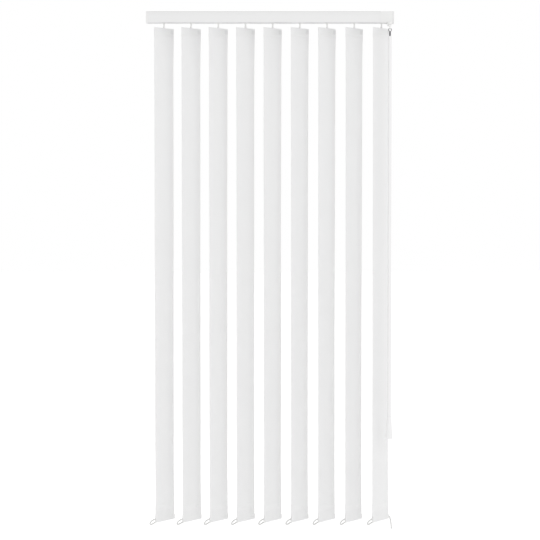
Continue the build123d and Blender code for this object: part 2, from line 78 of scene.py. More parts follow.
def seen_white(tree, plain, white):
    """White for the camera's own rays and those sent on by metal and glass, plain for the rest."""
    path = tree.nodes.new("ShaderNodeLightPath")
    mirrored = sums(
        tree, "MAXIMUM", path.outputs["Is Camera Ray"], path.outputs["Is Glossy Ray"]
    )
    seen = sums(tree, "MAXIMUM", mirrored, path.outputs["Is Transmission Ray"])
    mix = tree.nodes.new("ShaderNodeMixShader")
    for number, socket in enumerate((seen, plain, white)):
        tree.links.new(socket, mix.inputs[number])
    return mix.outputs[0]


room_strength = 0.98
room = bpy.data.worlds.new("room")
scene.world = room
room.use_nodes = True
room_tree = room.node_tree
soft_light = room_tree.nodes["Background"]
white_light = room_tree.nodes.new("ShaderNodeBackground")
for light, strength in ((soft_light, room_strength), (white_light, 1.0)):
    light.inputs["Color"].default_value = (1, 1, 1, 1)
    light.inputs["Strength"].default_value = strength
room_light = seen_white(room_tree, soft_light.outputs[0], white_light.outputs[0])
room_tree.links.new(room_light, room_tree.nodes["World Output"].inputs["Surface"])

floor_level = -1.95
floor_reach = 30
floor_grey = (0.84, 0.84, 0.84, 1)
floor_mesh = bpy.data.meshes.new("floor")
floor_square = floor_reach * np.array([(-1, -1, 0), (1, -1, 0), (1, 1, 0), (-1, 1, 0)], float)
floor_square[:, 2] = floor_level
floor_mesh.from_pydata(floor_square.tolist(), [], [(0, 1, 2, 3)])
floor = bpy.data.objects.new("floor", floor_mesh)
scene.collection.objects.link(floor)
floor_paint = bpy.data.materials.new("pale_floor")
floor_paint.use_nodes = True
floor_tree = floor_paint.node_tree
floor_shader = floor_tree.nodes["Principled BSDF"]
floor_shader.inputs["Base Color"].default_value = floor_grey
floor_shader.inputs["Roughness"].default_value = 0.9
floor_glow = floor_tree.nodes.new("ShaderNodeEmission")
floor_glow.inputs["Strength"].default_value = 0.20
floor_white = floor_tree.nodes.new("ShaderNodeAddShader")
floor_tree.links.new(floor_shader.outputs[0], floor_white.inputs[0])
floor_tree.links.new(floor_glow.outputs[0], floor_white.inputs[1])
floor_light = seen_white(floor_tree, floor_shader.outputs[0], floor_white.outputs[0])
floor_tree.links.new(floor_light, floor_tree.nodes["Material Output"].inputs["Surface"])
floor_mesh.materials.append(floor_paint)

lamp_size = 3.0
for lamp_name, lamp_power, lamp_at, lamp_turn in (
    ("front_lamp", 26.0, (2.6, -4.2, 0.6), (1.27, 0.0, 0.555)),
    ("back_lamp", 54.0, (-3.0, 3.8, 0.0), (1.42, 0.0, np.pi + 0.668)),
):
    lamp_data = bpy.data.lights.new(lamp_name, "AREA")
    lamp_data.shape = "SQUARE"
    lamp_data.size = lamp_size
    lamp_data.energy = lamp_power
    lamp = bpy.data.objects.new(lamp_name, lamp_data)
    scene.collection.objects.link(lamp)
    lamp.location = lamp_at
    lamp.rotation_euler = lamp_turn

# HEAD RAIL
# One white extrusion of aluminium, sawn to length and stove-enamelled satin white, with a groove
# along both faces, a recess above for the ceiling brackets and a slot below for the carriers.


def group(name, inputs, outputs):
    """An empty shader node group with sockets given as (name, kind, value) and (name, kind)."""
    made = bpy.data.node_groups.new(name, "ShaderNodeTree")
    for label, kind, value in inputs:
        socket = made.interface.new_socket(
            label, in_out="INPUT", socket_type="NodeSocket" + kind
        )
        if value is not None:
            socket.default_value = value
    for label, kind in outputs:
        made.interface.new_socket(label, in_out="OUTPUT", socket_type="NodeSocket" + kind)
    enter, leave = made.nodes.new("NodeGroupInput"), made.nodes.new("NodeGroupOutput")
    return made, enter.outputs, leave.inputs


def add_group(tree, held, **values):
    """A node group in a tree with its sockets linked or set, and its outputs."""
    node = tree.nodes.new("ShaderNodeGroup")
    node.node_tree = held
    for label, value in values.items():
        join(tree, value, node.inputs[label.replace("_", " ")])
    return node.outputs


def blended(tree, share, low, high):
    """A colour between low and high by a share from 0 to 1."""
    node = tree.nodes.new("ShaderNodeMix")
    node.data_type = "RGBA"
    join(tree, share, node.inputs["Factor"])
    join(tree, low, node.inputs[6])
    join(tree, high, node.inputs[7])
    return node.outputs[2]


def noise(tree, vector, scale, detail=2.0, roughness=0.5):
    """A cloud noise from 0 to 1 at that scale."""
    node = tree.nodes.new("ShaderNodeTexNoise")
    join(tree, vector, node.inputs["Vector"])
    join(tree, scale, node.inputs["Scale"])
    node.inputs["Detail"].default_value = detail
    node.inputs["Roughness"].default_value = roughness
    return node.outputs["Fac"]


def band(tree, value, start, end, soft):
    """1 between start and end and 0 outside, with a smooth step of that width at either side."""
    steps = []
    for edge, low, high in ((start, 0.0, 1.0), (end, 1.0, 0.0)):
        node = tree.nodes.new("ShaderNodeMapRange")
        node.interpolation_type = "SMOOTHSTEP"
        join(tree, value, node.inputs["Value"])
        node.inputs["From Min"].default_value = edge - soft / 2
        node.inputs["From Max"].default_value = edge + soft / 2
        node.inputs["To Min"].default_value = low
        node.inputs["To Max"].default_value = high
        steps.append(node.outputs[0])
    return sums(tree, "MULTIPLY", *steps)


def own_place(tree):
    """The object's own coordinates as a vector."""
    return tree.nodes.new("ShaderNodeTexCoord").outputs["Object"]


def axes_of(tree, vector):
    """The three parts of a vector, under X, Y and Z."""
    parts = tree.nodes.new("ShaderNodeSeparateXYZ")
    tree.links.new(vector, parts.inputs[0])
    return parts.outputs


def finish(name, colour, **sockets):
    """A material with one Principled BSDF, its even values set on the shader, and its tree."""
    made = bpy.data.materials.new(name)
    made.use_nodes = True
    shader = made.node_tree.nodes["Principled BSDF"]
    shader.inputs["Base Color"].default_value = (*colour, 1)
    for label, value in sockets.items():
        shader.inputs[label.replace("_", " ")].default_value = value
    return made, made.node_tree


def feed(tree, colour, roughness=None, height=None, relief=0.0, strength=1.0):
    """Links colour, roughness and height to the shader, the height by a bump of that relief."""
    shader = tree.nodes["Principled BSDF"]
    tree.links.new(colour, shader.inputs["Base Color"])
    if roughness is not None:
        tree.links.new(roughness, shader.inputs["Roughness"])
    if height is not None:
        bump = tree.nodes.new("ShaderNodeBump")
        bump.inputs["Distance"].default_value = relief
        bump.inputs["Strength"].default_value = strength
        tree.links.new(height, bump.inputs["Height"])
        tree.links.new(bump.outputs[0], shader.inputs["Normal"])


def tinted(material, mask, share, colour):
    """Blends the colour that feeds a material's shader towards another by a mask and a share."""
    tree = material.node_tree
    target = tree.nodes["Principled BSDF"].inputs["Base Color"]
    amount = sums(tree, "MULTIPLY", mask, share)
    tree.links.new(blended(tree, amount, target.links[0].from_socket, colour), target)


# The skin of paint or moulded plastic: broad clouds in the colour, fine pits in the height, and
# dust that settles where the surface looks up.
dust_colour = (0.42, 0.40, 0.37, 1)
skin, skin_in, skin_out = group(
    "fine_skin",
    [
        ("Vector", "Vector", None),
        ("Colour", "Color", (0.8, 0.8, 0.8, 1)),
        ("Cloud Colour", "Color", (0.75, 0.75, 0.75, 1)),
        ("Cloud Scale", "Float", 9.0),
        ("Pit Scale", "Float", 1500.0),
        ("Gloss Low", "Float", 0.35),
        ("Gloss High", "Float", 0.5),
        ("Dust", "Float", 0.2),
    ],
    [("Colour", "Color"), ("Roughness", "Float"), ("Height", "Float")],
)
clouds = noise(skin, skin_in["Vector"], skin_in["Cloud Scale"], 3.0)
pits = noise(skin, skin_in["Vector"], skin_in["Pit Scale"], 1.0)
looks_up = axes_of(skin, skin.nodes.new("ShaderNodeNewGeometry").outputs["Normal"])["Z"]
flat_top = sums(skin, "SMOOTH_MIN", sums(skin, "MAXIMUM", looks_up, 0.0), 1.0, 0.1)
specks = noise(skin, skin_in["Vector"], 420.0, 4.0, 0.7)
dust_share = sums(skin, "MULTIPLY", sums(skin, "MULTIPLY", flat_top, specks), skin_in["Dust"])
cloud_share = sums(skin, "MULTIPLY", sums(skin, "SUBTRACT", clouds, 0.35), 1.6)
clouded = blended(skin, cloud_share, skin_in["Colour"], skin_in["Cloud Colour"])
skin.links.new(blended(skin, dust_share, clouded, dust_colour), skin_out["Colour"])
gloss_run = sums(skin, "SUBTRACT", skin_in["Gloss High"], skin_in["Gloss Low"])
gloss = sums(skin, "MULTIPLY_ADD", clouds, gloss_run, skin_in["Gloss Low"])
skin.links.new(sums(skin, "MULTIPLY_ADD", dust_share, 0.4, gloss), skin_out["Roughness"])
skin.links.new(pits, skin_out["Height"])


def skinned(
    name, colour, cloud, gloss, relief, dust=0.2, pit_scale=1500.0, cloud_scale=9.0, **sockets
):
    """Paint or moulded plastic: the fine skin in object space, its pits of that relief in metres.

    gloss is the roughness where the clouds are 0 and where they are 1.
    """
    made, tree = finish(name, colour, **sockets)
    coat = add_group(
        tree,
        skin,
        Vector=own_place(tree),
        Colour=(*colour, 1),
        Cloud_Colour=(*cloud, 1),
        Cloud_Scale=cloud_scale,
        Pit_Scale=pit_scale,
        Gloss_Low=gloss[0],
        Gloss_High=gloss[1],
        Dust=dust,
    )
    feed(tree, coat["Colour"], coat["Roughness"], coat["Height"], relief, strength=0.6)
    return made


def dress(material, *names):
    """Gives each CAD node its material."""
    for name in names:
        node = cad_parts[name]
        if not node.material_slots:
            node.data.materials.append(material)
        for held in node.material_slots:
            held.material = material


rail_enamel = skinned(
    "rail_enamel",
    colour=(0.82, 0.82, 0.82),
    cloud=(0.805, 0.805, 0.805),
    gloss=(0.34, 0.44),
    relief=0.00002,
    dust=0.35,
    pit_scale=700.0,
    cloud_scale=4.0,
    IOR=1.5,
)
# The top edge is painted darker: painted shade for the ceiling above the rail.
rail_tree = rail_enamel.node_tree
rail_up = axes_of(rail_tree, own_place(rail_tree))["Z"]
ceiling_shade_band = band(rail_tree, rail_up, start=-0.0023, end=0.01, soft=0.002)
tinted(rail_enamel, ceiling_shade_band, 0.75, (0.66, 0.66, 0.65, 1))
dress(rail_enamel, "headrail")

# END CAPS
# White plastic mouldings pushed into the rail's ends: a flat plate on the left, and on the right a
# cover that laps over the last 40 mm of the rail. Each carries an end of the tilt rod.
cap_plastic = skinned(
    "cap_plastic",
    colour=(0.83, 0.83, 0.825),
    cloud=(0.81, 0.81, 0.805),
    gloss=(0.42, 0.55),
    relief=0.00003,
    dust=0.3,
    pit_scale=2200.0,
)
# The mould's parting line runs round the cover close to its outer face.
cap_tree = cap_plastic.node_tree
cap_along = axes_of(cap_tree, own_place(cap_tree))["X"]
cap_seam = band(cap_tree, cap_along, start=0.3598, end=0.3610, soft=0.0006)
tinted(cap_plastic, cap_seam, 0.7, (0.62, 0.62, 0.61, 1))
dress(cap_plastic, "end_cap_left", "end_cap_right")

# CEILING BRACKETS
# Two pieces of folded, zinc-plated steel sheet that grip under the lips of the recess and are
# screwed up through the middle.
spangle_scale = 260.0
zinc, zinc_tree = finish("bracket_zinc", (0.62, 0.62, 0.63), Metallic=1.0, Roughness=0.4)
spangle = zinc_tree.nodes.new("ShaderNodeTexVoronoi")
spangle.inputs["Scale"].default_value = spangle_scale
zinc_tree.links.new(own_place(zinc_tree), spangle.inputs["Vector"])
spangle_parts = zinc_tree.nodes.new("ShaderNodeSeparateColor")
zinc_tree.links.new(spangle.outputs["Color"], spangle_parts.inputs[0])
zinc_grey, zinc_shine = spangle_parts.outputs[0], spangle_parts.outputs[1]
feed(
    zinc_tree,
    blended(zinc_tree, zinc_grey, (0.54, 0.55, 0.57, 1), (0.70, 0.70, 0.70, 1)),
    sums(zinc_tree, "MULTIPLY_ADD", zinc_shine, 0.22, 0.28),
)
dress(zinc, "bracket_left", "bracket_right")

# TILT ROD
# A fluted rod of drawn aluminium that runs from cap to cap and turns every worm at once. Drawing
# leaves fine lines along it.


def stretched(tree, vector, scale):
    """A vector with each of its parts multiplied by a factor of its own."""
    node = tree.nodes.new("ShaderNodeMapping")
    node.inputs["Scale"].default_value = scale
    tree.links.new(vector, node.inputs["Vector"])
    return node.outputs[0]


drawn, drawn_in, drawn_out = group(
    "drawn_lines",
    [("Vector", "Vector", None), ("Line Scale", "Float", 3000.0)],
    [("Colour", "Color"), ("Roughness", "Float"), ("Height", "Float")],
)
drawn_place = stretched(drawn, drawn_in["Vector"], (0.01, 1.0, 1.0))
lines = noise(drawn, drawn_place, drawn_in["Line Scale"], 3.0)
drawn_grey = blended(drawn, lines, (0.62, 0.62, 0.63, 1), (0.78, 0.78, 0.79, 1))
drawn.links.new(drawn_grey, drawn_out["Colour"])
drawn.links.new(sums(drawn, "MULTIPLY_ADD", lines, 0.2, 0.2), drawn_out["Roughness"])
drawn.links.new(lines, drawn_out["Height"])
bright_rod, rod_tree = finish("drawn_aluminium", (0.72, 0.72, 0.73), Metallic=1.0)
rod_skin = add_group(rod_tree, drawn, Vector=own_place(rod_tree))
feed(rod_tree, rod_skin["Colour"], rod_skin["Roughness"], rod_skin["Height"], relief=0.00002)
dress(bright_rod, "tilt_rod")

# CARRIERS AND WORMS
# White acetal mouldings. Each carrier slides on the rail's two ledges and holds a worm on the rod,
# which turns its slat's stem. Thin strips between them keep the pitch. The lead case beside the
# last carrier reaches under the rail to the wand.
slat_count = 9
acetal = skinned(
    "white_acetal",
    colour=(0.85, 0.85, 0.84),
    cloud=(0.82, 0.82, 0.81),
    gloss=(0.3, 0.42),
    relief=0.00002,
    dust=0.25,
    pit_scale=2600.0,
    cloud_scale=30.0,
    IOR=1.48,
)
for number in range(1, slat_count + 1):
    dress(acetal, f"carrier_{number}", f"worm_{number}")
dress(acetal, "lead_case", "wand_stem")

# SLATS
# Nine strips of stiffened woven polyester, 89 mm wide. Each end is folded to the back and welded
# across, which makes a pocket 22 mm deep for the hanger above and one 48 mm deep for the weight
# below. The slats hang turned 54 degrees, twist a little on the way down and curl at the far edge.
slat_pitch = 0.080
last_stem = 0.328
stem_places = last_stem - slat_pitch * np.arange(slat_count - 1, -1, -1)
slat_turn = 54.0
twist_start, twist_down, twist_back = 0.8, 1.9, 0.4
half_width = 0.0445
cloth = 0.00045
slat_top = -0.0475
slat_foot = -1.506
window_half = 0.0045
window_top = -0.0535
window_foot = -0.0600


def eased(value, start, end):
    """0 before start and 1 after end, with a smooth rise between: 3t squared less 2t cubed."""
    share = np.clip((value - start) / (end - start), 0, 1)
    return share * share * (3 - 2 * share)


def slat_angle(z):
    """A slat's angle at a height, in radians: flatter at the top, steeper towards the foot."""
    fall = (slat_top - z) / (slat_top - slat_foot)
    twist = twist_down * eased(fall, 0.0, 0.75)
    return np.radians(slat_turn - twist_start + twist - twist_back * eased(fall, 0.75, 1.0))


def hung(place, u, v, z):
    """A point of a slat in the row frame.

    u runs from its near edge to the far one and v out of its seen face, both turned by the slat's
    angle about its stem.
    """
    angle = slat_angle(z)
    x = place + u * np.cos(angle) + v * np.sin(angle)
    y = u * np.sin(angle) - v * np.cos(angle)
    return np.stack(np.broadcast_arrays(x, y, z), -1)


def grid_cells(rows, columns, wrap):
    """The four corners of each cell of a grid numbered row by row; wrap closes each row."""
    index = np.arange(rows * columns).reshape(rows, columns)
    across = np.hstack([index, index[:, :1]]) if wrap else index
    cells = [across[:-1, :-1], across[:-1, 1:], across[1:, 1:], across[1:, :-1]]
    return np.stack(cells, -1).reshape(-1, 4)


def grid_lids(rows, columns):
    """The first row of such a grid, backwards, and the last one, as faces."""
    first = np.arange(columns)
    return [first[::-1].tolist(), (first + (rows - 1) * columns).tolist()]


def smooth_piece(name, points, faces, material):
    """A smooth-shaded mesh object at the origin."""
    mesh = bpy.data.meshes.new(name)
    mesh.from_pydata(points.tolist(), [], faces)
    mesh.polygons.foreach_set("use_smooth", np.ones(len(mesh.polygons), bool))
    mesh.materials.append(material)
    mesh.update()
    piece = bpy.data.objects.new(name, mesh)
    scene.collection.objects.link(piece)
    return piece


def surface(name, grid, material, wrap=False, uv=None, keep=None, lids=False):
    """A mesh over a grid of points (rows, columns, 3), a face to each cell that keep names."""
    rows, columns = grid.shape[:2]
    cells = grid_cells(rows, columns, wrap)
    if keep is not None:
        cells = cells[keep.ravel()]
    used, renumbered = np.unique(cells, return_inverse=True)
    faces = renumbered.reshape(cells.shape).tolist()
    if lids:
        faces += grid_lids(rows, columns)
    piece = smooth_piece(name, grid.reshape(-1, 3)[used], faces, material)
    if uv is not None:
        corner = np.zeros(len(piece.data.loops), np.int32)
        piece.data.loops.foreach_get("vertex_index", corner)
        layer = piece.data.uv_layers.new(name="cut")
        layer.data.foreach_set("uv", uv.reshape(-1, 2)[used][corner].astype(np.float32).ravel())
    return piece


def way_along(line):
    """How far along a line each of its points lies: the running sum of its steps' lengths."""
    return np.concatenate([[0], np.cumsum(np.linalg.norm(np.diff(line, axis=0), axis=1))])


# The weave: two sets of threads that pass over and under each other, with thicker threads here
# and there across the strip, finer lines along it and a slow cloudiness over all.
weave, weave_in, weave_out = group(
    "plain_weave",
    [
        ("Cut", "Vector", None),
        ("Light Thread", "Color", (0.93, 0.93, 0.93, 1)),
        ("Dark Thread", "Color", (0.885, 0.885, 0.885, 1)),
        ("Threads per Metre", "Float", 1700.0),
    ],
    [("Colour", "Color"), ("Roughness", "Float"), ("Height", "Float")],
)
cut_at = axes_of(weave, weave_in["Cut"])
turns = sums(weave, "MULTIPLY", weave_in["Threads per Metre"], np.pi)
warp = sums(weave, "SINE", sums(weave, "MULTIPLY", cut_at[0], turns))
weft = sums(weave, "SINE", sums(weave, "MULTIPLY", cut_at[1], turns))
over_under = sums(weave, "MULTIPLY", warp, weft)
rounded = sums(weave, "ADD", sums(weave, "ABSOLUTE", warp), sums(weave, "ABSOLUTE", weft))
half_rounded = sums(weave, "MULTIPLY", rounded, 0.5)
thread_height = sums(weave, "MULTIPLY_ADD", over_under, 0.5, half_rounded)
slubs = noise(weave, stretched(weave, weave_in["Cut"], (28.0, 1700.0, 1.0)), 1.0)
warp_lines = noise(weave, stretched(weave, weave_in["Cut"], (1500.0, 12.0, 1.0)), 1.0)
clouding = noise(weave, weave_in["Cut"], 7.0)
slub_tone = sums(weave, "MULTIPLY", slubs, 0.6)
weave_tone = sums(weave, "ADD", slub_tone, sums(weave, "MULTIPLY", warp_lines, 0.5))
cloth_tone = sums(
    weave, "MULTIPLY_ADD", clouding, 0.35, sums(weave, "MULTIPLY", weave_tone, 0.6)
)
cloth_colour = blended(weave, cloth_tone, weave_in["Light Thread"], weave_in["Dark Thread"])
weave.links.new(cloth_colour, weave_out["Colour"])
weave.links.new(sums(weave, "MULTIPLY_ADD", slubs, 0.15, 0.75), weave_out["Roughness"])
weave.links.new(sums(weave, "MULTIPLY_ADD", slubs, 0.8, thread_height), weave_out["Height"])

# A tenth of the light that meets the cloth goes through it.
through_share = 0.10
slat_cloth, cloth_tree = finish(
    "slat_cloth", (0.90, 0.90, 0.90), Roughness=0.82, Sheen_Weight=0.08, Sheen_Roughness=0.5
)
cut_place = cloth_tree.nodes.new("ShaderNodeUVMap")
cut_place.uv_map = "cut"
woven = add_group(cloth_tree, weave, Cut=cut_place.outputs[0])
feed(
    cloth_tree,
    woven["Colour"],
    woven["Roughness"],
    woven["Height"],
    relief=0.00006,
    strength=0.5,
)
see_through = cloth_tree.nodes.new("ShaderNodeBsdfTranslucent")
cloth_tree.links.new(woven["Colour"], see_through.inputs["Color"])
cloth_mix = cloth_tree.nodes.new("ShaderNodeMixShader")
cloth_mix.inputs[0].default_value = through_share
cloth_tree.links.new(cloth_tree.nodes["Principled BSDF"].outputs[0], cloth_mix.inputs[1])
cloth_tree.links.new(see_through.outputs[0], cloth_mix.inputs[2])
cloth_tree.links.new(cloth_mix.outputs[0], cloth_tree.nodes["Material Output"].inputs["Surface"])

# The line of the strip from the end of the upper flap, over the hanger, down the face, round the
# weight and up to the end of the lower flap, as (v, z). Where two layers are welded they touch.
hanger_side = 0.00085
weight_side = 0.00110
layer_gap = 0.00047
top_fold, foot_fold = 0.0005, 0.00055
upper_weld, lower_weld = -0.0715, -1.4568
pocket_floor = -0.0670
round_top = np.radians(np.linspace(180, 0, 9))
round_foot = np.radians(np.linspace(0, -180, 9))
flap_rise = np.array(
    [
        *(-0.0750, -0.0730, -0.0722, upper_weld, -0.0708, -0.0700, -0.0690, -0.0678, -0.0660),
        *(-0.0630, window_foot, -0.0568, window_top, -0.0510, -0.0492),
    ]
)
face_drop = np.concatenate([flap_rise[::-1], [-0.0770, -0.0800, -0.0850, -0.0920]])
face_long = np.linspace(-0.105, -1.430, 54)
face_foot = np.array(
    [
        *(-1.440, -1.447, -1.452, -1.4545, -1.4560, lower_weld, -1.4576, -1.4590, -1.4610),
        *(-1.4640, -1.4675, -1.4720, -1.4790, -1.4870, -1.4950, -1.5010, -1.5040),
    ]
)
lower_rise = np.array(
    [
        *(-1.5040, -1.4950, -1.4790, -1.4675, -1.4620),
        *(-1.4590, -1.4576, lower_weld, -1.4560, -1.4520),
    ]
)


def flap_offset(z):
    """How far behind the face's line the flap lies: side by side at the welds, else apart."""
    upper = eased(z, -0.0708, pocket_floor) * (hanger_side - layer_gap)
    lower = eased(-z, 1.4576, 1.4670) * (weight_side - layer_gap)
    return -(layer_gap + upper + lower)


def face_offset(z):
    """How far the face stands out: round the hanger and, in a longer slope, round the weight."""
    round_hanger = eased(z, upper_weld, pocket_floor) * hanger_side
    return round_hanger + eased(-z, -lower_weld, 1.4672) * weight_side


top_centre = slat_top - cloth / 2 - top_fold
foot_centre = slat_foot + cloth / 2 + foot_fold
strip = np.concatenate(
    [
        np.stack([flap_offset(flap_rise), flap_rise], -1),
        np.stack([hanger_side * np.cos(round_top), top_centre + top_fold * np.sin(round_top)], -1),
        np.stack([face_offset(face_drop), face_drop], -1),
        np.stack([0 * face_long, face_long], -1),
        np.stack([face_offset(face_foot), face_foot], -1),
        np.stack(
            [weight_side * np.cos(round_foot), foot_centre + foot_fold * np.sin(round_foot)], -1
        ),
        np.stack([flap_offset(lower_rise), lower_rise], -1),
    ]
)
along_strip = way_along(strip)
across_strip = np.concatenate(
    [
        [-half_width, -0.0435, -0.0424, -0.0400],
        np.linspace(-0.0360, -0.012, 7),
        [-0.008, -window_half, 0.0, window_half, 0.008],
        np.linspace(0.012, 0.034, 8),
        [0.0365, 0.0385, 0.0400, 0.0412, 0.0424, 0.0435, half_width],
    ]
)
u_grid, z_grid = np.meshgrid(across_strip, strip[:, 1])
v_line = np.broadcast_to(strip[:, :1], u_grid.shape)

# Beyond the ends of the hanger, and of the weight above its ears, the two layers come together.
closed_side = 0.00025
beside_hanger = eased(np.abs(u_grid), 0.0402, 0.0440) * eased(z_grid, upper_weld, pocket_floor)
above_ears = eased(-z_grid, 1.4577, 1.4650) * eased(z_grid, -1.4898, -1.4865)
beside_weight = eased(np.abs(u_grid), 0.0424, 0.0442) * above_ears
pinch = beside_hanger * (1 - closed_side / hanger_side)
pinch = pinch + beside_weight * (1 - closed_side / weight_side)
v_line = v_line * (1 - pinch)

# The far edge curls back, most where the strip hangs free, and the cloth ripples a little there.
curl_depth, curl_start, curl_width = 0.0016, 0.024, 0.0205
free_length = eased(-z_grid, 0.070, 0.20) * eased(z_grid, -1.459, -1.33)
curl_share = np.clip((u_grid - curl_start) / curl_width, 0, 1) ** 2
edge_curl = -curl_depth * curl_share * (0.4 + 0.6 * free_length)
edge_curl = edge_curl * eased(-z_grid, -upper_weld, 0.10)
uv_grid = np.stack([u_grid, np.broadcast_to(along_strip[:, None], u_grid.shape)], -1)


def in_window(u, z):
    """Which cells of a grid have their middle in the window for the stem's hook."""
    middle_u, middle_z = (u[:-1, :-1] + u[1:, 1:]) / 2, (z[:-1, :-1] + z[1:, 1:]) / 2
    return (np.abs(middle_u) < window_half) & (middle_z < window_top) & (middle_z > window_foot)


behind = (np.arange(len(strip) - 1) < len(flap_rise))[:, None]
cloth_window = behind & in_window(u_grid, z_grid)
face_rows = slice(len(flap_rise) + len(round_top), len(strip) - len(lower_rise) - len(round_foot))


def face_way(z):
    """How far along the strip a height on its seen face lies."""
    return float(np.interp(-z, -strip[face_rows, 1], along_strip[face_rows]))


# A darker patch at the top far corner is painted shade over the far end of the hanger. A lighter
# band over the lower weld, which is pressed smooth, and the slope round the weight is a painted
# highlight where that slope faces up.
cut_parts = axes_of(cloth_tree, cut_place.outputs[0])
painted_corner_shade = sums(
    cloth_tree,
    "MULTIPLY",
    band(cloth_tree, cut_parts[1], face_way(-0.0515), face_way(-0.0635), soft=0.004),
    band(cloth_tree, cut_parts[0], 0.0280, 0.06, soft=0.006),
)
tinted(slat_cloth, painted_corner_shade, 0.7, (0.80, 0.80, 0.80, 1))
# Painted highlight: the band over the lower weld and the slope below it is made lighter.
weld_highlight_band = band(cloth_tree, cut_parts[1], face_way(-1.4570), face_way(-1.4720), soft=0.004)
tinted(slat_cloth, weld_highlight_band, 0.3, (0.96, 0.96, 0.96, 1))

# Three faint ripples, each with its waves along the slat, its waves across it and its share.
ripple_waves = ((4.1, 0.0, 1.0), (9.3, 26.0, 1.0), (-3.0, 60.0, 0.5))
sway = np.random.default_rng(7)
for number, place in enumerate(stem_places, start=1):
    ripple_at, ripple_by = sway.uniform(0, 2 * np.pi, 3), sway.uniform(0.00010, 0.00028, 3)
    ripple = sum(
        by * share * np.sin(down * z_grid + over * u_grid + at)
        for (down, over, share), at, by in zip(ripple_waves, ripple_at, ripple_by)
    )
    grid = hung(place, u_grid, v_line + edge_curl + ripple * free_length, z_grid)
    slat = surface(f"cloth_{number}", grid, slat_cloth, uv=uv_grid, keep=~cloth_window)
    wall = slat.modifiers.new("cloth", "SOLIDIFY")
    wall.thickness = cloth
    wall.offset = 0.0
    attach(slat, f"slat_{number}")
    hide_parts(f"slat_{number}")

# HANGERS
# A flat moulded plate, 80 mm wide, welded into each top pocket, with the window that the stem's
# hook goes through. It keeps the head of the slat straight.
plate_thickness = 0.00118
plate_rim = 0.00018
plate_plastic = skinned(
    "plate_plastic",
    colour=(0.83, 0.83, 0.82),
    cloud=(0.81, 0.81, 0.80),
    gloss=(0.35, 0.5),
    relief=0.00002,
    dust=0.1,
    cloud_scale=40.0,
)
plate_side = np.linspace(0.006, 0.040, 8)
hanger_u = np.concatenate([-plate_side[::-1], [-window_half, window_half], plate_side])
hanger_z = np.array([-0.04825, -0.0500, window_top, window_foot, -0.0640, -0.0692])
plate_u, plate_z = np.meshgrid(hanger_u, hanger_z)
plate_window = in_window(plate_u, plate_z)
for number, place in enumerate(stem_places, start=1):
    grid = hung(place, plate_u, 0 * plate_u, plate_z)
    hanger = surface(f"hanger_{number}", grid, plate_plastic, keep=~plate_window)
    hanger.data.polygons.foreach_set("use_smooth", np.zeros(len(hanger.data.polygons), bool))
    wall = hanger.modifiers.new("plate", "SOLIDIFY")
    wall.thickness = plate_thickness
    wall.offset = 0.0
    rim = hanger.modifiers.new("rim", "BEVEL")
    rim.width = plate_rim
    rim.segments = 2
    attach(hanger, f"slat_{number}")
    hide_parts(f"slat_{number}")

# WEIGHTS
# A steel plate moulded over in white plastic, 84 by 38 mm, slid into the bottom pocket so that the
# slat hangs straight. An ear at each end stands out of the pocket and takes the bead chain.
weight_half = 0.0008
weight_edge = 0.0003
corner_radius = 0.0022
core_half, core_top = 0.0420, -1.4677
ear_reach, ear_top = 0.0465, -1.4915
weight_foot = slat_foot + 0.0006


def rounded_outline(corners, radius, steps=7):
    """A closed outline whose corners are parabolas.

    Each is the corner plus its two arms, of that radius, by (1-t) squared and t squared.
    """
    corners = np.asarray(corners, float)
    back, ahead = np.roll(corners, 1, 0) - corners, np.roll(corners, -1, 0) - corners
    back /= np.linalg.norm(back, axis=1, keepdims=True)
    ahead /= np.linalg.norm(ahead, axis=1, keepdims=True)
    share = np.linspace(0, 1, steps)[None, :, None]
    bend = (1 - share) ** 2 * back[:, None] + share**2 * ahead[:, None]
    return (corners[:, None] + radius * bend).reshape(-1, 2)


def slab(outline, half, edge):
    """The rings of a flat plate with a round rim, as (rings, points, 3) in (u, v, z).

    The rim is a quarter of a circle of radius edge from each flat side to the outline.
    """
    run = np.roll(outline, -1, 0) - np.roll(outline, 1, 0)
    outward = np.stack([run[:, 1], -run[:, 0]], -1) / np.linalg.norm(run, axis=1, keepdims=True)
    lift = np.radians(np.linspace(-90, 0, 4))
    lift = np.concatenate([lift, -lift[::-1]])
    side = np.repeat([-1, 1], 4) * (half - edge)
    inset = edge * (np.cos(lift) - 1)
    rings = outline[None] + inset[:, None, None] * outward[None]
    v = np.broadcast_to((side + edge * np.sin(lift))[:, None], rings.shape[:2])
    return np.stack([rings[..., 0], v, rings[..., 1]], -1)


weight_corners = [
    (-ear_reach, weight_foot),
    (ear_reach, weight_foot),
    (ear_reach, ear_top),
    (core_half, ear_top),
    (core_half, core_top),
    (-core_half, core_top),
    (-core_half, ear_top),
    (-ear_reach, ear_top),
]
weight_rings = slab(rounded_outline(weight_corners, corner_radius), weight_half, weight_edge)
weight_plastic = skinned(
    "weight_plastic",
    colour=(0.82, 0.82, 0.81),
    cloud=(0.79, 0.79, 0.78),
    gloss=(0.4, 0.5),
    relief=0.00003,
    dust=0.2,
    cloud_scale=30.0,
)
for number, place in enumerate(stem_places, start=1):
    grid = hung(place, weight_rings[..., 0], weight_rings[..., 1], weight_rings[..., 2])
    weight = surface(f"foot_weight_{number}", grid, weight_plastic, wrap=True, lids=True)
    weight.data.polygons.foreach_set(
        "use_smooth", np.array([len(face.vertices) == 4 for face in weight.data.polygons])
    )
    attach(weight, f"slat_{number}")
    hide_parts(f"weight_{number}")

# STEMS
# One white acetal moulding each: a wheel of 15 teeth in the carrier, a shaft down through the slot,
# and a hook that reaches from behind through the pocket's window and under the hanger.
wheel_teeth = 15
wheel_root, wheel_tip = 0.006125, 0.007925
root_width, tip_width = 0.00145, 0.00065
wheel_half, wheel_edge = 0.0020, 0.0002
wheel_level = -0.0160
hook_half, hook_edge = 0.0025, 0.0003
hook_radius = 0.0004
sharp_edge = np.radians(35)


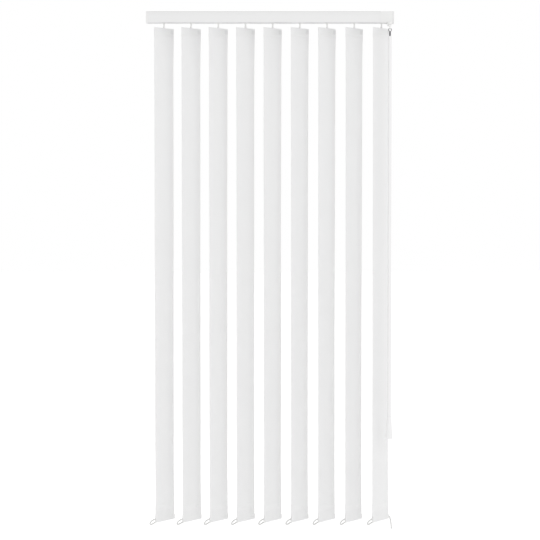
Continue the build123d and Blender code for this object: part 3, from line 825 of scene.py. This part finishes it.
def shells(name, grids, material):
    """One mesh of several closed forms, each a grid of rings (rings, points, 3) with two lids."""
    faces, used = [], 0
    for grid in grids:
        rows, columns = grid.shape[:2]
        cells = grid_cells(rows, columns, wrap=True).tolist() + grid_lids(rows, columns)
        faces += [[used + corner for corner in cell] for cell in cells]
        used += rows * columns
    points = np.concatenate([grid.reshape(-1, 3) for grid in grids])
    piece = smooth_piece(name, points, faces, material)
    piece.data.set_sharp_from_angle(angle=sharp_edge)
    return piece


def turned_form(profile, place, sides=28):
    """The rings of a turned piece: each (radius, height) goes round the upright axis at place."""
    angle = np.linspace(0, 2 * np.pi, sides, endpoint=False)
    radius, height = np.asarray(profile, float).T
    ring = np.stack([np.cos(angle), np.sin(angle)], -1)
    flat = np.asarray(place)[None, None] + radius[:, None, None] * ring[None]
    up = np.broadcast_to(height[:, None, None], flat.shape[:2] + (1,))
    return np.concatenate([flat, up], -1)


tooth_middle = np.radians(-90 + (np.arange(wheel_teeth) + 0.5) * 360 / wheel_teeth)
tooth_radius = np.array([wheel_root, wheel_tip, wheel_tip, wheel_root])
tooth_turn = np.array([-root_width, -tip_width, tip_width, root_width]) / 2 / tooth_radius
tooth_angle = (tooth_middle[:, None] + tooth_turn[None]).ravel()
tooth_reach = np.tile(tooth_radius, wheel_teeth)
wheel_outline = tooth_reach[:, None] * np.stack([np.cos(tooth_angle), np.sin(tooth_angle)], -1)
wheel_rings = slab(wheel_outline, wheel_half, wheel_edge)
shaft_profile = [
    (0.00205, -0.0434),
    (0.00205, -0.0366),
    (0.00235, -0.0360),
    (0.00320, -0.0356),
    (0.00360, -0.0353),
    (0.00360, -0.0343),
    (0.00340, -0.0341),
    (0.00300, -0.0341),
    (0.00300, -0.0142),
    (0.00270, -0.0139),
]
hook_corners = [
    (-0.0023, -0.0571),
    (0.0004, -0.0571),
    (0.0004, -0.0536),
    (-0.0013, -0.0536),
    (-0.0013, -0.0470),
    (0.0020, -0.0470),
    (0.0020, -0.0431),
    (-0.0023, -0.0431),
]
hook_rings = slab(rounded_outline(hook_corners, hook_radius, steps=5), hook_half, hook_edge)
for number, place in enumerate(stem_places, start=1):
    wheel = np.stack(
        [place + wheel_rings[..., 0], wheel_rings[..., 2], wheel_rings[..., 1] + wheel_level], -1
    )
    shaft = turned_form(shaft_profile, (place, 0.0))
    hook = hung(place, -hook_rings[..., 1], hook_rings[..., 0], hook_rings[..., 2])
    stem = shells(f"hook_stem_{number}", [wheel, shaft, hook], acetal)
    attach(stem, f"slat_{number}")
    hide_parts(f"stem_{number}")

# BEAD CHAIN
# Small moulded beads on a thread. Cut short, it is left as a loop on each slat's near ear, and its
# end hangs from the far ear of the last slat.
bead_radius = 0.0021
bead_pitch = 0.0042
thread_width = 0.0013
pole_gap = 0.00001
# The beads and their thread are a grey well below the white of their plastic: painted shade for the
# small chain.
bead_plastic = skinned(
    "bead_plastic",
    colour=(0.66, 0.66, 0.65),
    cloud=(0.60, 0.60, 0.59),
    gloss=(0.25, 0.35),
    relief=0.00001,
    dust=0.2,
    cloud_scale=200.0,
    Coat_Weight=0.1,
    Coat_Roughness=0.2,
)
thread_painted_grey, thread_tree = finish("chain_thread", (0.61, 0.61, 0.60), Roughness=0.7)
fibres = noise(thread_tree, own_place(thread_tree), 2500.0)
feed(thread_tree, blended(thread_tree, fibres, (0.66, 0.66, 0.65, 1), (0.56, 0.56, 0.55, 1)))


def thread(name, points, width, material):
    """A thread or wire on one smooth spline drawn by its control points, and its line's points."""
    line = bpy.data.curves.new(name, "CURVE")
    line.dimensions = "3D"
    line.resolution_u = 10
    spline = line.splines.new("NURBS")
    spline.points.add(len(points) - 1)
    spline.points.foreach_set("co", np.hstack([points, np.ones((len(points), 1))]).ravel())
    spline.order_u = 3
    spline.use_endpoint_u = True
    cord = bpy.data.objects.new(name, line)
    scene.collection.objects.link(cord)
    bare = bpy.data.meshes.new_from_object(cord)
    along = np.zeros(len(bare.vertices) * 3)
    bare.vertices.foreach_get("co", along)
    bpy.data.meshes.remove(bare)
    line.bevel_depth = width / 2
    line.bevel_resolution = 2
    line.use_fill_caps = True
    line.materials.append(material)
    return cord, along.reshape(-1, 3)


def beads(name, line, first, last):
    """Round beads at one pitch along a line, each a ball of 7 rings of 10, and the line's length.

    The first is that far from the line's start, and none is nearer its end than last.
    """
    far = way_along(line)
    stations = np.arange(first, far[-1] - last, bead_pitch)
    centres = np.stack([np.interp(stations, far, line[:, axis]) for axis in range(3)], -1)
    rise, round_it = np.radians(np.linspace(-90, 90, 7)), np.radians(np.arange(0, 360, 36))
    ball = np.stack(
        [
            np.cos(rise)[:, None] * np.cos(round_it),
            np.cos(rise)[:, None] * np.sin(round_it),
            np.sin(rise)[:, None] + 0 * round_it,
        ],
        -1,
    )
    rows, columns = ball.shape[:2]
    points = (centres[:, None] + bead_radius * ball.reshape(1, -1, 3)).reshape(-1, 3)
    ball_start = rows * columns * np.arange(len(centres))
    faces = grid_cells(rows, columns, wrap=True)[None] + ball_start[:, None, None]
    string = smooth_piece(name, points, faces.reshape(-1, 4).tolist(), bead_plastic)
    merge = string.modifiers.new("poles", "WELD")
    merge.merge_threshold = pole_gap
    return string, float(far[-1])


loop_route = np.array(
    [
        (-0.0460, -1.4941),
        (-0.0580, -1.4956),
        (-0.0705, -1.5010),
        (-0.0720, -1.5070),
        (-0.0600, -1.5078),
        (-0.0460, -1.5035),
    ]
)
for number, place in enumerate(stem_places, start=1):
    route = hung(place, loop_route[:, 0], 0 * loop_route[:, 0], loop_route[:, 1])
    loop, loop_line = thread(f"loop_thread_{number}", route, thread_width, thread_painted_grey)
    loop_beads, loop_length = beads(f"loop_beads_{number}", loop_line, 0.0024, 0.0018)
    for piece in (loop, loop_beads):
        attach(piece, f"slat_{number}")
        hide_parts(f"weight_{number}")

tail_start = hung(last_stem, np.array([0.0464]), np.array([0.0]), np.array([-1.4985]))
tail_falls = np.array(
    [
        (0.0, 0.0, 0.0),
        (0.0024, 0.0033, -0.0012),
        (0.0050, 0.0052, -0.0070),
        (0.0066, 0.0052, -0.0150),
        (0.0078, 0.0048, -0.0240),
        (0.0086, 0.0044, -0.0330),
        (0.0088, 0.0045, -0.0400),
    ]
)
tail, tail_line = thread("tail_thread", tail_start + tail_falls, thread_width, thread_painted_grey)
tail_beads, tail_length = beads("tail_beads", tail_line, 0.0022, 0.0012)
for piece in (tail, tail_beads):
    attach(piece, f"slat_{slat_count}")
    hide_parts("chain_tail")

# WAND
# A six-sided rod of clear-white acrylic with a flared grip of white plastic pushed over its lower
# end. It hangs by a bent hook of dark steel wire, whose free end is wound round the shank.
wand_at = (0.350, -0.051)
wire = 0.0010
coil_wire = 0.00098
coil_radius = 0.0019
coil_top = -0.0614
coil_pitch = 0.0020
coil_turns = 6.5
coil_points = 190


def tube(path, radius, beside, sides=12):
    """The rings of a wire: a circle in the plane across the path at each of its points.

    beside is a direction that the path never takes.
    """
    ahead = np.gradient(path, axis=0)
    ahead /= np.linalg.norm(ahead, axis=1, keepdims=True)
    first = beside - (ahead @ beside)[:, None] * ahead
    first /= np.linalg.norm(first, axis=1, keepdims=True)
    second = np.cross(ahead, first)
    angle = np.linspace(0, 2 * np.pi, sides, endpoint=False)[None, :, None]
    return path[:, None] + radius * (
        np.cos(angle) * first[:, None] + np.sin(angle) * second[:, None]
    )


hook_bends = np.array(
    [
        (-0.0016, -0.0616),
        (-0.0040, -0.0598),
        (-0.0042, -0.0566),
        (-0.0040, -0.0540),
        (0.0000, -0.0539),
        (0.0040, -0.0540),
        (0.0043, -0.0570),
        (0.0038, -0.0604),
        (0.0002, -0.0625),
        (0.0, -0.0680),
        (0.0, -0.0860),
    ]
)
hook_route = np.stack(
    [wand_at[0] + hook_bends[:, 0], 0 * hook_bends[:, 0] + wand_at[1], hook_bends[:, 1]], -1
)
coil_angle = np.linspace(0, 2 * np.pi * coil_turns, coil_points)
coil_path = np.stack(
    [
        wand_at[0] + coil_radius * np.cos(coil_angle),
        wand_at[1] + coil_radius * np.sin(coil_angle),
        coil_top - coil_pitch * coil_angle / (2 * np.pi),
    ],
    -1,
)
hook_wire, hook_tree = finish("hook_wire", (0.26, 0.26, 0.27), Metallic=1.0, Roughness=0.35)
tarnish = noise(hook_tree, own_place(hook_tree), 900.0, 3.0)
feed(
    hook_tree,
    blended(hook_tree, tarnish, (0.18, 0.18, 0.19, 1), (0.32, 0.32, 0.33, 1)),
    sums(hook_tree, "MULTIPLY_ADD", tarnish, 0.25, 0.22),
)
wand_wire = thread("wand_wire", hook_route, 2 * wire, hook_wire)[0]
coil_rings = tube(coil_path, coil_wire, np.array([0.0, 0.0, 1.0]))
wand_coil = shells("wand_coil", [coil_rings], hook_wire)
for piece in (wand_wire, wand_coil):
    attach(piece, "wand")
    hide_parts("wand_hook")
wand_acrylic = skinned(
    "wand_acrylic",
    colour=(0.86, 0.86, 0.86),
    cloud=(0.84, 0.84, 0.84),
    gloss=(0.08, 0.16),
    relief=0.00001,
    dust=0.05,
    cloud_scale=6.0,
    Coat_Weight=0.5,
    Coat_Roughness=0.05,
    IOR=1.49,
)
dress(wand_acrylic, "wand")
grip_plastic = skinned(
    "grip_plastic",
    colour=(0.87, 0.87, 0.87),
    cloud=(0.85, 0.85, 0.85),
    gloss=(0.40, 0.52),
    relief=0.00002,
    dust=0.1,
    cloud_scale=20.0,
    IOR=1.4,
)
dress(grip_plastic, "wand_grip")
